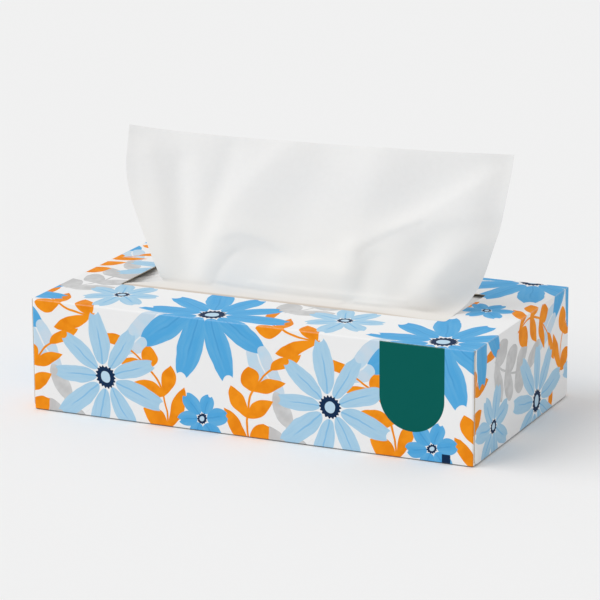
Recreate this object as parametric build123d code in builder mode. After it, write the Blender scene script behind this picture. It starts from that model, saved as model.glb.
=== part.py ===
"""Flat carton of facial tissues with one sheet standing in its slot. Millimetres, +Z up, +X along the carton.

The origin is the middle of the carton's underside, and the carton's front looks along -Y.
"""
import os
from math import atan2, cos, degrees, exp, hypot, log, tanh

from build123d import *

# Carton, measured outside. It is one card blank, so its panels share the card's thickness.
carton_length = 230.0
carton_width = 124.0
carton_height = 55.6
card = 0.45
fold_radius = 0.9
hinge_round_share = 0.85
layers_at_end = 3

# End flaps. The dust flaps fold in from the front and back panels, the inner flap folds up from the
# bottom panel and the outer flap folds down from the top panel over all of them.
dust_flap_reach = 46.0
inner_flap_reach = 40.0
outer_flap_inset = 0.8
outer_flap_corner = 3.0
glue_flap_reach = 13.0
glue_flap_inset = 6.0
seam_reveal = 0.5

# Slot in the top panel. It lies a little to the left and to the back of the panel's middle.
slot_end_margin = 29.1
slot_width = 52.5
slot_aside = -2.2
slot_setback = 5.3
slot_corner = 1.6
overrun = 1.0

# Pile of interfolded sheets, with the folded edges at the front and the back.
sheet_end_gap = 13.5
pile_side_gap = 8.0
head_room = 8.0
pile_fold_count = 9
pile_fold_depth = 1.6

# Sheet that stands in the slot.
sheet_thickness = 0.3
seat_gap = 0.1
head_gap = 0.75
tail_end_gap = 3.0
turn_lead = 20.0
rise_lead = 2.0
rise_radius = 7.0
stand_height = 73.6
lean_back = 27.6

# The sheet's two side edges: how far each is drawn in at the slot, how far the left one is drawn in at the
# foot of the standing part, where each ends at the top, and how soon each flares.
left_draw_in_slot = 14.5
left_draw_in_foot = 34.5
right_draw_in_slot = 18.5
left_top_shift = 3.8
right_top_shift = 2.5
left_flare_power = 1.96
right_flare_power = 2.65
top_edge_tilt = 3.6
right_sweep = 9.0
right_sweep_start_share = 0.74

# Folds of the standing part. Hollows are pushed back beside a ridge and under a brow. Rolls stand forward
# along a bowed line, and valleys lie back along one. The lengths are those of the largest of each.
hollow_depth = 8.3
hollow_lip = 6.9
hollow_reach = 53.0
roll_lift = 2.8
roll_width = 22.0
roll_crown = 1.5
fold_fade_up = 5.0
soft_corner = 3.0
soft_edge = 1.6

# Each hollow: its ridge from the sheet's middle as a share of the sheet's width, its brow's height as a share
# of the standing length, the brow's slope, and its depth, lip and reach as shares of the largest.
hollow_shares = [
    (0.164, 0.42, 0.23, 0.37, 1.0, 0.61),
    (0.353, 0.02, 0.89, 1.0, 0.71, 1.0),
]
# Each roll or valley: its foot, middle and top as shares of the sheet's width and of the standing length, and
# its lift, its width to the left and its width to the right as shares of the largest.
roll_shares = [
    ((-0.325, 0.02), (-0.376, 0.52), (-0.411, 0.81), 0.44, 0.47, 0.33),
    ((-0.267, 0.07), (-0.315, 0.54), (-0.331, 0.79), -0.26, 0.25, 0.27),
    ((-0.257, 0.05), (-0.258, 0.55), (-0.285, 0.89), 0.2, 0.38, 0.45),
    ((-0.252, 0.08), (-0.223, 0.59), (-0.200, 0.91), -0.2, 0.25, 0.26),
    ((-0.219, 0.05), (-0.161, 0.54), (-0.045, 0.94), 0.52, 0.42, 0.79),
    ((0.001, 0.30), (-0.004, 0.50), (0.033, 0.98), -0.32, 1.0, 0.61),
    ((-0.180, 0.35), (-0.112, 0.37), (-0.003, 0.27), 0.25, 0.25, 0.14),
    ((-0.187, 0.06), (-0.136, 0.23), (-0.022, 0.24), -0.38, 0.21, 0.41),
    ((0.177, 0.52), (0.182, 0.72), (0.192, 0.96), 0.55, 0.53, 0.79),
    ((0.206, 0.53), (0.314, 0.77), (0.447, 1.01), -0.7, 0.62, 0.81),
    ((0.157, 0.33), (0.290, 0.52), (0.522, 0.92), 0.46, 0.27, 0.52),
    ((0.354, 0.08), (0.360, 0.23), (0.456, 0.45), 1.0, 0.54, 0.36),
    ((0.272, 0.03), (0.303, 0.18), (0.332, 0.31), -0.68, 0.4, 0.43),
    ((-0.016, 0.15), (0.051, 0.17), (0.133, 0.16), 0.46, 0.27, 0.41),
    ((0.477, 0.09), (0.479, 0.57), (0.519, 1.00), -0.55, 0.38, 0.36),
]
roll_chords = 8

across_steps = 48
rise_steps = 6
stand_steps = 26

# Sizes that follow from the ones above.
body_length = carton_length - 2 * card
hollow_length = carton_length - 2 * layers_at_end * card
hollow_width = carton_width - 2 * card
hollow_height = carton_height - 2 * card
slot_length = carton_length - 2 * slot_end_margin
slot_front = slot_setback - slot_width / 2
sheet_width = carton_length - 2 * sheet_end_gap
pile_depth = hollow_width - 2 * pile_side_gap
pile_height = hollow_height - head_room
pile_top = card + pile_height
tail_level = pile_top + seat_gap + sheet_thickness / 2
run_level = carton_height - card - head_gap - sheet_thickness / 2
turn_radius = (run_level - tail_level) / 2
run_end = slot_front - rise_lead
turn_line = run_end - turn_lead
tail_end = pile_depth / 2 - tail_end_gap
half_sheet = sheet_width / 2
left_slot = left_draw_in_slot - half_sheet
left_foot = left_draw_in_foot - half_sheet
left_top = left_top_shift - half_sheet
right_slot = half_sheet - right_draw_in_slot
right_top = half_sheet + right_top_shift


def ease(share):
    """A smooth step from zero to one."""
    share = min(max(share, 0), 1)
    return share * share * (3 - 2 * share)


def between(first, last, share):
    return first + (last - first) * share


with BuildPart() as carton:
    # The block of panels and inner end flaps, its folds rounded.
    Box(body_length, carton_width, carton_height, align=(Align.CENTER, Align.CENTER, Align.MIN))
    long_folds = carton.edges().filter_by(Axis.X)
    corner_folds = carton.edges().filter_by(Axis.Z)
    floor_folds = carton.edges().filter_by(Axis.Y).group_by(Axis.Z)[0]
    fillet(long_folds + corner_folds + floor_folds, radius=fold_radius)
    # The hollow inside, with the end layers left open where no dust flap covers them.
    with BuildSketch(Plane.XY.offset(card)) as hollow:
        Rectangle(hollow_length, hollow_width)
    extrude(amount=hollow_height, mode=Mode.SUBTRACT)
    with BuildSketch(Plane.XY.offset(card)) as between_dust_flaps:
        Rectangle(hollow_length + 2 * card, carton_width - 2 * dust_flap_reach)
    extrude(amount=hollow_height, mode=Mode.SUBTRACT)
    with BuildSketch(Plane.XY.offset(inner_flap_reach)) as above_inner_flap:
        Rectangle(body_length, carton_width - 2 * dust_flap_reach)
    extrude(amount=carton_height - card - inner_flap_reach, mode=Mode.SUBTRACT)
    # The outer end flaps, hinged on the top panel and a little narrower than the end.
    for end_plane in (Plane.YZ.offset(body_length / 2), Plane.YZ.offset(-carton_length / 2)):
        with BuildSketch(end_plane) as outer_flap:
            with BuildLine() as outer_flap_outline:
                flap_side = carton_width / 2 - outer_flap_inset
                FilletPolyline(
                    (-flap_side, carton_height),
                    (-flap_side, outer_flap_inset),
                    (flap_side, outer_flap_inset),
                    (flap_side, carton_height),
                    radius=outer_flap_corner,
                )
                Line((flap_side, carton_height), (-flap_side, carton_height))
            make_face()
        extrude(amount=card)
    hinges = carton.edges().filter_by(Axis.Y).group_by(Axis.Z)[-1].sort_by(Axis.X)
    fillet([hinges[0], hinges[-1]], radius=card * hinge_round_share)
    # The glue flap inside the back panel, and the back panel's cut lower edge.
    with BuildSketch(Plane.XY.offset(card)) as glue_flap:
        with Locations((0, carton_width / 2 - card)):
            Rectangle(hollow_length - 2 * glue_flap_inset, card, align=(Align.CENTER, Align.MAX))
    extrude(amount=glue_flap_reach)
    with BuildSketch(Plane.XY) as seam:
        with Locations((0, carton_width / 2)):
            Rectangle(carton_length, card, align=(Align.CENTER, Align.MAX))
    extrude(amount=seam_reveal, mode=Mode.SUBTRACT)
    # The slot.
    with BuildSketch(Plane.XY.offset(carton_height - card - overrun)) as slot:
        with Locations((slot_aside, slot_setback)):
            RectangleRounded(slot_length, slot_width, slot_corner)
    extrude(amount=card + 2 * overrun, mode=Mode.SUBTRACT)
carton.part.label = "carton"


with BuildPart() as tissue_stack:
    with BuildSketch(Plane.YZ.offset(-half_sheet)) as pile_section:
        with BuildLine() as pile_outline:
            pile_side = pile_depth / 2 - pile_fold_depth
            pitch = pile_height / pile_fold_count
            Line((-pile_side, card), (pile_side, card))
            for fold in range(pile_fold_count):
                SagittaArc(
                    (pile_side, card + fold * pitch),
                    (pile_side, card + (fold + 1) * pitch),
                    -pile_fold_depth,
                )
                SagittaArc(
                    (-pile_side, card + fold * pitch),
                    (-pile_side, card + (fold + 1) * pitch),
                    pile_fold_depth,
                )
            Line((-pile_side, pile_top), (pile_side, pile_top))
        make_face()
    extrude(amount=sheet_width)
tissue_stack.part.label = "tissue_stack"


# The sheet's run from its free end: forward over the pile, round a fold, back under the top panel, up past
# the slot's front edge, and then standing with a lean to the back. It is drawn as (Y, Z).
lean_angle = atan2(lean_back, stand_height)
with BuildLine() as spine:
    tail = Line((tail_end, tail_level), (turn_line, tail_level))
    turn = JernArc(tail @ 1, tail % 1, turn_radius, -180)
    run = Line(turn @ 1, (run_end, run_level))
    rise = JernArc(run @ 1, run % 1, rise_radius, 90 - degrees(lean_angle))
    stand_length = (carton_height + stand_height - (rise @ 1).Y) / cos(lean_angle)
    stand = PolarLine(rise @ 1, stand_length, direction=rise % 1)


def side_edges(stage, share):
    """Where the sheet's left and right edges are along X at a share of the rise or of the standing part."""
    if stage is rise:
        return between(left_slot, left_foot, ease(2 * share - 1)), right_slot
    left_flare = 1 - (1 - share) ** left_flare_power
    right_flare = 1 - (1 - share) ** right_flare_power
    return between(left_foot, left_top, left_flare), between(right_slot, right_top, right_flare)


def hollow_push(shares, across, up):
    """How far one hollow pushes the sheet back at a place on its standing part."""
    ridge_share, brow_share, brow_slope, depth_share, lip_share, reach_share = shares
    beside = across - ridge_share * sheet_width
    under = (brow_share * stand_length + brow_slope * beside - up) / hypot(1, brow_slope)
    inside = -soft_corner * log(exp(-beside / soft_corner) + exp(-under / soft_corner))
    inside = soft_edge * log(1 + exp(inside / soft_edge))
    sinking = 1 - exp(-inside / (lip_share * hollow_lip))
    return depth_share * hollow_depth * sinking * exp(-inside / (reach_share * hollow_reach))


def roll_line(shares):
    """Points along the bowed line of one roll or valley, from its foot past its middle to its top."""
    foot, middle, top = [Vector(place * sheet_width, height * stand_length) for place, height in shares[:3]]
    bow = middle * 2 - between(foot, top, 1 / 2)
    steps = [step / roll_chords for step in range(roll_chords + 1)]
    return [between(between(foot, bow, step), between(bow, top, step), step) for step in steps]


def roll_forward(shares, line, across, up):
    """How far one roll brings the sheet forward at a place on its standing part. A valley's is negative."""
    lift_share, left_width_share, right_width_share = shares[3:]
    off, beside = None, 0
    for start, stop in zip(line, line[1:]):
        chord = stop - start
        aside = Vector(across, up) - start
        aside = aside - chord * min(max(aside.dot(chord) / chord.dot(chord), 0), 1)
        if off is None or aside.length < off:
            off, beside = aside.length, aside.cross(chord).Z / chord.length
    side = (1 + tanh(beside / roll_crown)) / 2
    width = between(left_width_share, right_width_share, side) * roll_width
    return lift_share * roll_lift * exp(-((off / width) ** 2))


roll_lines = [roll_line(shares) for shares in roll_shares]


def push_back(stage, share, across_share, across):
    """How far the sheet lies behind its spine."""
    sweep = right_sweep * ease((across_share - right_sweep_start_share) / (1 - right_sweep_start_share))
    if stage is rise:
        return sweep * share**3
    up = share * stand_length
    folds = sum(hollow_push(shares, across, up) for shares in hollow_shares)
    folds -= sum(roll_forward(shares, line, across, up) for shares, line in zip(roll_shares, roll_lines))
    return sweep * (1 - share) ** 2 + folds * (1 - exp(-up / fold_fade_up))


with BuildPart() as pop_up_tissue:
    # The part that lies on the pile and turns back at the front.
    with BuildSketch(Plane.YZ.offset(-half_sheet)) as laid_section:
        with BuildLine() as laid_line:
            add(tail)
            add(turn)
        trace(line_width=sheet_thickness)
    extrude(amount=sheet_width)
    # The part under the top panel, drawn in towards the slot.
    with BuildSketch(Plane.XY.offset(run_level - sheet_thickness / 2)) as drawn_in:
        with BuildLine() as drawn_in_outline:
            Polyline(
                (-half_sheet, turn_line),
                (half_sheet, turn_line),
                (right_slot, run_end),
                (left_slot, run_end),
                close=True,
            )
        make_face()
    extrude(amount=sheet_thickness)
    # The part that rises through the slot and stands in folds.
    levels = [(rise, step / rise_steps) for step in range(rise_steps)]
    levels += [(stand, step / stand_steps) for step in range(stand_steps + 1)]
    for stage, share in levels:
        left, right = side_edges(stage, share)
        tilt = top_edge_tilt * share / sheet_width if stage is stand else 0
        place = Plane.YZ.from_local_coords(stage @ share)
        level = Plane(place, x_dir=(1, 0, tilt), z_dir=Plane.YZ.from_local_coords(stage % share))
        middle = []
        for step in range(across_steps + 1):
            across = between(left, right, step / across_steps)
            middle.append((across, push_back(stage, share, step / across_steps, across)))
        with BuildSketch(level) as ribbon:
            with BuildLine() as ribbon_outline:
                front = Spline([(x, back - sheet_thickness / 2) for x, back in middle])
                rear = Spline([(x, back + sheet_thickness / 2) for x, back in middle])
                Line(front @ 0, rear @ 0)
                Line(front @ 1, rear @ 1)
            make_face()
    loft(ruled=True)
pop_up_tissue.part.label = "pop_up_tissue"


os.makedirs("parts", exist_ok=True)
export_step(carton.part, "parts/carton.step")
export_step(tissue_stack.part, "parts/tissue_stack.step")
export_step(pop_up_tissue.part, "parts/pop_up_tissue.step")
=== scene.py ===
"""Dresses a flat facial tissue carton and the soft sheet that stands in its slot.

Meshes are in metres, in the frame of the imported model: +X along the carton, -Y out of its front, +Z up.
Sizes in the classes are in millimetres, as a carton maker would write them.
"""
import logging
import math
from dataclasses import dataclass, field
from enum import Enum
from typing import Any, Mapping, Sequence

import bpy
import numpy as np
from mathutils import Matrix, Vector


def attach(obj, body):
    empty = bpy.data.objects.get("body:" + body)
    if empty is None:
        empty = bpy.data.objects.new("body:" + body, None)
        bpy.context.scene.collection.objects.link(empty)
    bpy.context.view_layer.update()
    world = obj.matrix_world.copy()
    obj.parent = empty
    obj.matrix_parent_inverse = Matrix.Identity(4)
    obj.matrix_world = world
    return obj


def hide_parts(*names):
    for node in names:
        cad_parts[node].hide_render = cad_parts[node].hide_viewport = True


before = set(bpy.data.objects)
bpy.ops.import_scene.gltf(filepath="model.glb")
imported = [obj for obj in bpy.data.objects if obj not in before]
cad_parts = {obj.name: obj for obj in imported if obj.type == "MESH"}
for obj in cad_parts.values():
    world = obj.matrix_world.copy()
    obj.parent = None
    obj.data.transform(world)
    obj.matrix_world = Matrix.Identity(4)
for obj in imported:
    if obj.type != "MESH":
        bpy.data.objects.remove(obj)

MM: float = 0.001
FLAT_MAP: str = "flat"
LOG: logging.Logger = logging.getLogger("tissue_carton")

Number = int | float
Colour = tuple[float, float, float]


def linear(red: Number, green: Number, blue: Number) -> Colour:
    """Turns a screen colour into the linear one that shaders take.

    Args:
        red: Red, from 0 to 255.
        green: Green, from 0 to 255.
        blue: Blue, from 0 to 255.

    Returns:
        The colour's three linear parts, from 0 to 1.
    """
    parts = []
    for part in (red, green, blue):
        share = part / 255
        parts.append(share / 12.92 if share <= 0.04045 else ((share + 0.055) / 1.055) ** 2.4)
    return parts[0], parts[1], parts[2]


def node_box(name: str) -> tuple[list[float], list[float]]:
    """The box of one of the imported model's nodes.

    Args:
        name: The node's name.

    Returns:
        Its lowest and its highest corner in millimetres, to a thousandth.
    """
    places = np.array([vertex.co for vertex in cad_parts[name].data.vertices]) / MM
    return places.min(axis=0).round(3).tolist(), places.max(axis=0).round(3).tolist()


# Node maths


class Term:
    """A number socket that takes part in arithmetic, where each step adds a Math node."""

    def __init__(self, sheet: "NodeSheet", socket: bpy.types.NodeSocket) -> None:
        """Holds the socket and the node sheet that it belongs to."""
        self.sheet = sheet
        self.socket = socket

    def _math(self, operation: str, *values: Any, clamp: bool = False) -> "Term":
        """Adds one Math node.

        Args:
            operation: The Math node's operation.
            values: Its inputs in order, as terms or numbers.
            clamp: True to keep the result between 0 and 1.

        Returns:
            The node's result.
        """
        node = self.sheet.add(
            "ShaderNodeMath",
            {"operation": operation, "use_clamp": clamp},
            dict(enumerate(values)),
        )
        return Term(self.sheet, node.outputs[0])

    def __add__(self, other: Any) -> "Term":
        """This plus other."""
        return self._math("ADD", self, other)

    def __radd__(self, other: Any) -> "Term":
        """Other plus this."""
        return self._math("ADD", other, self)

    def __sub__(self, other: Any) -> "Term":
        """This less other."""
        return self._math("SUBTRACT", self, other)

    def __rsub__(self, other: Any) -> "Term":
        """Other less this."""
        return self._math("SUBTRACT", other, self)

    def __mul__(self, other: Any) -> "Term":
        """This times other."""
        return self._math("MULTIPLY", self, other)

    def __rmul__(self, other: Any) -> "Term":
        """Other times this."""
        return self._math("MULTIPLY", other, self)

    def __truediv__(self, other: Any) -> "Term":
        """This over other."""
        return self._math("DIVIDE", self, other)

    def __rtruediv__(self, other: Any) -> "Term":
        """Other over this."""
        return self._math("DIVIDE", other, self)

    def __pow__(self, other: Any) -> "Term":
        """This to the power of other."""
        return self._math("POWER", self, other)

    def __abs__(self) -> "Term":
        """This without its sign."""
        return self._math("ABSOLUTE", self)

    def __gt__(self, other: Any) -> "Term":
        """One where this is more than other, else zero."""
        return self._math("GREATER_THAN", self, other)

    def __lt__(self, other: Any) -> "Term":
        """One where this is less than other, else zero."""
        return self._math("LESS_THAN", self, other)

    def least(self, other: Any) -> "Term":
        """The smaller of this and other."""
        return self._math("MINIMUM", self, other)

    def most(self, other: Any) -> "Term":
        """The larger of this and other."""
        return self._math("MAXIMUM", self, other)

    def wrapped(self, low: Number, high: Number) -> "Term":
        """This brought between low and high by whole steps."""
        return self._math("WRAP", self, high, low)

    def floored(self) -> "Term":
        """The whole number at or below this."""
        return self._math("FLOOR", self)

    def sine(self) -> "Term":
        """The sine of this angle."""
        return self._math("SINE", self)

    def cosine(self) -> "Term":
        """The cosine of this angle."""
        return self._math("COSINE", self)

    def root(self) -> "Term":
        """The square root of this."""
        return self._math("SQRT", self)

    def angle_from(self, across: "Term") -> "Term":
        """The angle whose opposite side is this and whose near side is across."""
        return self._math("ARCTAN2", self, across)

    def ramp(self, low: Number, high: Number) -> "Term":
        """Zero at low, one at high and straight between them.

        Args:
            low: The value that gives zero.
            high: The value that gives one, above or below low.

        Returns:
            The share, kept between 0 and 1.
        """
        slope = 1 / (high - low)
        return self._math("MULTIPLY_ADD", self, slope, -low * slope, clamp=True)


class NodeSheet:
    """A node tree of shaders or geometry that nodes are added to."""

    def __init__(self, tree: bpy.types.NodeTree) -> None:
        """Empties the tree and holds it."""
        self.tree = tree
        tree.nodes.clear()

    def add(
        self,
        kind: str,
        settings: Mapping[str, Any] | None = None,
        sockets: Mapping[int | str, Any] | None = None,
    ) -> bpy.types.Node:
        """Adds one node.

        Args:
            kind: The node's type.
            settings: Its properties, which are set first.
            sockets: Values, terms or sockets for its inputs, by number or name.

        Returns:
            The new node.
        """
        node = self.tree.nodes.new(kind)
        for name, value in (settings or {}).items():
            setattr(node, name, value)
        for name, value in (sockets or {}).items():
            self.feed(node.inputs[name], value)
        return node

    def feed(self, socket: bpy.types.NodeSocket, value: Any) -> None:
        """Gives an input its value or its link.

        Args:
            socket: The input.
            value: A term, a socket, or a plain value.
        """
        if isinstance(value, Term):
            self.tree.links.new(value.socket, socket)
        elif isinstance(value, bpy.types.NodeSocket):
            self.tree.links.new(value, socket)
        elif socket.type == "RGBA" and len(value) == 3:
            socket.default_value = (*value, 1.0)
        else:
            socket.default_value = value

    def term(self, node: bpy.types.Node, output: int | str = 0) -> Term:
        """A node's output as a term."""
        return Term(self, node.outputs[output])

    def parts(self, vector: bpy.types.NodeSocket) -> tuple[Term, Term, Term]:
        """The three parts of a vector socket as terms."""
        node = self.add("ShaderNodeSeparateXYZ", None, {0: vector})
        return self.term(node, 0), self.term(node, 1), self.term(node, 2)

    def joined(self, x: Any, y: Any, z: Any) -> bpy.types.NodeSocket:
        """A vector socket made of three parts."""
        return self.add("ShaderNodeCombineXYZ", None, {0: x, 1: y, 2: z}).outputs[0]

    def mixed(self, share: Any, under: Any, over: Any) -> bpy.types.NodeSocket:
        """Mixes two colours.

        Args:
            share: How much of the second colour shows.
            under: The first colour.
            over: The second colour.

        Returns:
            The mixed colour.
        """
        # A Mix node keeps its colours in these places, behind those of its other kinds of data.
        settings = {"data_type": "RGBA", "clamp_factor": True}
        return self.add("ShaderNodeMix", settings, {0: share, 6: under, 7: over}).outputs[2]

    def bumped(self, height: Term, strength: float, depth: float) -> bpy.types.NodeSocket:
        """A normal that follows a height, where a height of one is a depth in millimetres."""
        sockets = {"Strength": strength, "Distance": depth * MM, "Height": height}
        return self.add("ShaderNodeBump", None, sockets).outputs[0]

    def surface(self, sockets: Mapping[int | str, Any]) -> None:
        """Ends a material in a Principled shader with the given inputs."""
        shader = self.add("ShaderNodeBsdfPrincipled", None, sockets)
        self.add("ShaderNodeOutputMaterial", None, {"Surface": shader.outputs[0]})


def new_material(name: str) -> tuple[bpy.types.Material, NodeSheet]:
    """Makes a bare material.

    Args:
        name: The material's name.

    Returns:
        The material, and the node sheet to build it on.
    """
    material = bpy.data.materials.new(name)
    material.use_nodes = True
    return material, NodeSheet(material.node_tree)


def put_in_scene(name: str, data: bpy.types.ID) -> bpy.types.Object:
    """Makes an object and puts it in the scene.

    Args:
        name: The object's name.
        data: The mesh, light or camera that it holds.

    Returns:
        The object.
    """
    made = bpy.data.objects.new(name, data)
    bpy.context.scene.collection.objects.link(made)
    return made


@dataclass(frozen=True)
class Cloud:
    """A cloudy pattern: its density, how many finer layers it has and how strong they are."""

    scale: float
    detail: float = 2.0
    roughness: float = 0.5

    def texture(self, nodes: NodeSheet, vector: Any) -> bpy.types.Node:
        """Adds the pattern's texture, read at a vector."""
        sockets = {"Vector": vector, "Scale": self.scale, "Detail": self.detail, "Roughness": self.roughness}
        return nodes.add("ShaderNodeTexNoise", {"noise_dimensions": "3D"}, sockets)

    def at(self, nodes: NodeSheet, vector: Any) -> Term:
        """The pattern's strength, read at a vector."""
        return nodes.term(self.texture(nodes, vector))


@dataclass(frozen=True)
class Wash(Cloud):
    """A cloudy pattern through which a second colour shows, from where it starts to where it is full."""

    spread: tuple[float, float] = (0.3, 0.7)
    share: float = 1.0

    def shown(self, cloud: Term) -> Term:
        """How much of the second colour shows at each strength of the pattern."""
        return cloud.ramp(*self.spread) * self.share

    def laid(self, nodes: NodeSheet, cloud: Term, under: Any, over: Any) -> bpy.types.NodeSocket:
        """The first colour with the second one over it."""
        return nodes.mixed(self.shown(cloud), under, over)


# The print


@dataclass(frozen=True)
class Inks:
    """The print's colours on white card."""

    white: Colour = linear(241, 241, 241)
    mid_blue: Colour = linear(84, 169, 223)
    lit_blue: Colour = linear(112, 183, 226)
    deep_blue: Colour = linear(60, 145, 206)
    light_blue: Colour = linear(165, 205, 230)
    wash_blue: Colour = linear(190, 218, 236)
    pale_blue: Colour = linear(203, 219, 232)
    orange: Colour = linear(246, 150, 28)
    deep_orange: Colour = linear(232, 132, 18)
    grey: Colour = linear(197, 197, 197)
    light_grey: Colour = linear(214, 214, 214)
    navy: Colour = linear(22, 46, 78)
    green: Colour = linear(6, 93, 86)


@dataclass(frozen=True)
class Place:
    """Where a motif sits in the print's repeat: its middle in millimetres and its turn in degrees."""

    across: float
    along: float
    turn: float = 0.0


class PrintSheet:
    """The flat printed blank: where each point of the card lies on it, and the colour laid on so far.

    The edge is how far each ink takes to fade out, in millimetres.
    """

    edge: float = 0.16

    def __init__(
        self, nodes: NodeSheet, across: Term, along: Term, repeat: tuple[float, float], ground: Any
    ) -> None:
        """Starts a print on a bare ground.

        Args:
            nodes: The shader's node sheet.
            across: The point's place along the carton on the flat blank, in millimetres.
            along: The point's place across the carton on the flat blank, in millimetres.
            repeat: The print's repeat both ways, in millimetres.
            ground: The card's own colour.
        """
        self.nodes = nodes
        self.across = across
        self.along = along
        self.repeat = repeat
        self.colour = ground

    def local(self, place: Place) -> tuple[Term, Term]:
        """A point's place beside the nearest repeat of a motif.

        Args:
            place: Where the motif sits.

        Returns:
            The place along the motif and across it, turned with it.
        """
        half_across, half_along = self.repeat[0] / 2, self.repeat[1] / 2
        x = (self.across - place.across).wrapped(-half_across, half_across)
        y = (self.along - place.along).wrapped(-half_along, half_along)
        if not place.turn:
            return x, y
        cosine, sine = math.cos(math.radians(place.turn)), math.sin(math.radians(place.turn))
        return x * cosine + y * sine, y * cosine - x * sine

    def inside(self, depth: Term) -> Term:
        """One inside a shape and zero outside it, from the depth inside its edge in millimetres."""
        return depth.ramp(-self.edge / 2, self.edge / 2)

    def lay(self, share: Any, colour: Any) -> None:
        """Lays a colour over the print where share is one."""
        self.colour = self.nodes.mixed(share, self.colour, colour)


@dataclass(frozen=True)
class Blossom:
    """A round blossom of broad notched petals with a dark eye.

    The petals' sizes are shares of its radius, and those of the eye's parts are shares of the eye.
    """

    place: Place
    radius: float
    petals: int
    petal: Colour
    petal_wash: Colour
    vein: Colour
    eye: Colour
    eye_ring: Colour
    fullness: float
    seed: float
    petal_middle: float = 0.59
    half_petal: float = 0.41
    least_shrink: float = 0.9
    shrink_range: float = 0.2
    notch_middle: float = 1.02
    notch_radius: float = 0.085
    notch_squash: float = 0.8
    streaks: Wash = Wash(1.0, 3.0, 0.6, (0.42, 0.68), 0.6)
    streak_scale: tuple[float, float] = (0.035, 0.3)
    vein_edge: tuple[float, float] = (0.5, 0.2)
    vein_end: tuple[float, float] = (0.78, 0.62)
    vein_share: float = 0.5
    eye_share: float = 0.17
    ring_share: float = 0.52
    scallop_share: float = 0.08

    def _petal_depth(self, ink: PrintSheet, x: Term, y: Term) -> tuple[Term, Term, Term]:
        """How deep a point lies inside the nearest petal.

        Args:
            ink: The print.
            x: The point's place beside the blossom's middle.
            y: The same, the other way.

        Returns:
            The depth, and the point's places along and across its petal.
        """
        step = 2 * math.pi / self.petals
        spread = y.angle_from(x)
        number = (spread / step + 0.5).floored()
        chance = ink.nodes.add(
            "ShaderNodeTexWhiteNoise", {"noise_dimensions": "1D"}, {"W": number + self.seed}
        )
        shrink = ink.nodes.term(chance, "Value") * self.shrink_range + self.least_shrink
        off = spread - number * step
        far = (x * x + y * y).root() * shrink
        along, aside = far * off.cosine(), far * off.sine()
        middle, half_length = self.radius * self.petal_middle, self.radius * self.half_petal
        half_width = middle * math.tan(step / 2) * self.fullness
        ring = (((along - middle) / half_length) ** 2.0 + (aside / half_width) ** 2.0).root()
        notch = ((along - self.radius * self.notch_middle) * self.notch_squash) ** 2.0 + aside * aside
        depth = ((1 - ring) * half_width).least(notch.root() - self.radius * self.notch_radius)
        return depth, along, aside

    def paint(self, ink: PrintSheet) -> None:
        """Lays the blossom on the print.

        Args:
            ink: The print.
        """
        x, y = ink.local(self.place)
        depth, along, aside = self._petal_depth(ink, x, y)
        along_scale, aside_scale = self.streak_scale
        vector = ink.nodes.joined(along * along_scale, aside * aside_scale, self.seed)
        cloud = self.streaks.at(ink.nodes, vector)
        petal = self.streaks.laid(ink.nodes, cloud, self.petal, self.petal_wash)
        vein_gone, vein_full = (self.radius * share for share in self.vein_end)
        vein = abs(aside).ramp(*self.vein_edge) * along.ramp(vein_gone, vein_full)
        ink.lay(ink.inside(depth), ink.nodes.mixed(vein * self.vein_share, petal, self.vein))
        far, turn = (x * x + y * y).root(), y.angle_from(x)
        eye = self.radius * self.eye_share
        scallop = (turn * (2 * self.petals)).cosine() * (eye * self.scallop_share)
        ink.lay(ink.inside(eye - far + scallop), self.eye)
        ink.lay(ink.inside(eye * self.ring_share - far), self.eye_ring)


class LeafTip(Enum):
    """How a sprig's leaves end."""

    POINTED = "pointed"
    BLUNT = "blunt"


@dataclass(frozen=True)
class Sprig:
    """A curved stem with pairs of leaves that get shorter along it, and one leaf at its tip."""

    place: Place
    length: float
    pairs: int
    leaf_length: float
    leaf_width: float
    bend: float
    leaf: Colour
    leaf_wash: Colour
    spread: float = 42.0
    leaf_tip: LeafTip = LeafTip.POINTED
    stem_width: float = 1.1
    stem_overrun: float = 1.0
    first_leaf: float = 1.12
    leaf_taper: float = 0.4
    last_leaf: float = 0.8
    wash: Wash = Wash(0.16, spread=(0.4, 0.64), share=0.8)

    def _leaf_depth(self, along: Term, aside: Term, length: float | Term) -> Term:
        """How deep a point lies inside one leaf.

        Args:
            along: The point's place along the leaf, from its foot.
            aside: The point's place beside the leaf's middle line.
            length: The leaf's length.

        Returns:
            The depth in millimetres, below zero outside the leaf.
        """
        share = along / length * 2.0 - 1
        wide = 1 - share * share
        if self.leaf_tip is LeafTip.BLUNT:
            wide = wide.most(0.0).root()
        return wide * (self.leaf_width / 2) - abs(aside)

    def paint(self, ink: PrintSheet) -> None:
        """Lays the sprig on the print.

        Args:
            ink: The print.
        """
        x, y = ink.local(self.place)
        half = self.length / 2
        reach = x + half
        aside = y - x * x * (self.bend / half**2) + self.bend / 2
        pitch = self.length / self.pairs
        cell = (reach / pitch).floored()
        foot = reach - cell * pitch
        cosine, sine = math.cos(math.radians(self.spread)), math.sin(math.radians(self.spread))
        out = abs(aside)
        leaf = self._leaf_depth(
            foot * cosine + out * sine,
            out * cosine - foot * sine,
            self.leaf_length * (self.first_leaf - self.leaf_taper * cell / self.pairs),
        )
        on_stem = reach.least(self.length - reach)
        last = self._leaf_depth(x - half, aside, self.leaf_length * self.last_leaf)
        stem = (self.stem_width / 2 - out).least(on_stem + self.stem_overrun)
        shape = ink.inside(leaf.least(on_stem).most(last).most(stem))
        cloud = self.wash.at(ink.nodes, ink.nodes.joined(x, y, self.length))
        ink.lay(shape, self.wash.laid(ink.nodes, cloud, self.leaf, self.leaf_wash))


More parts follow.
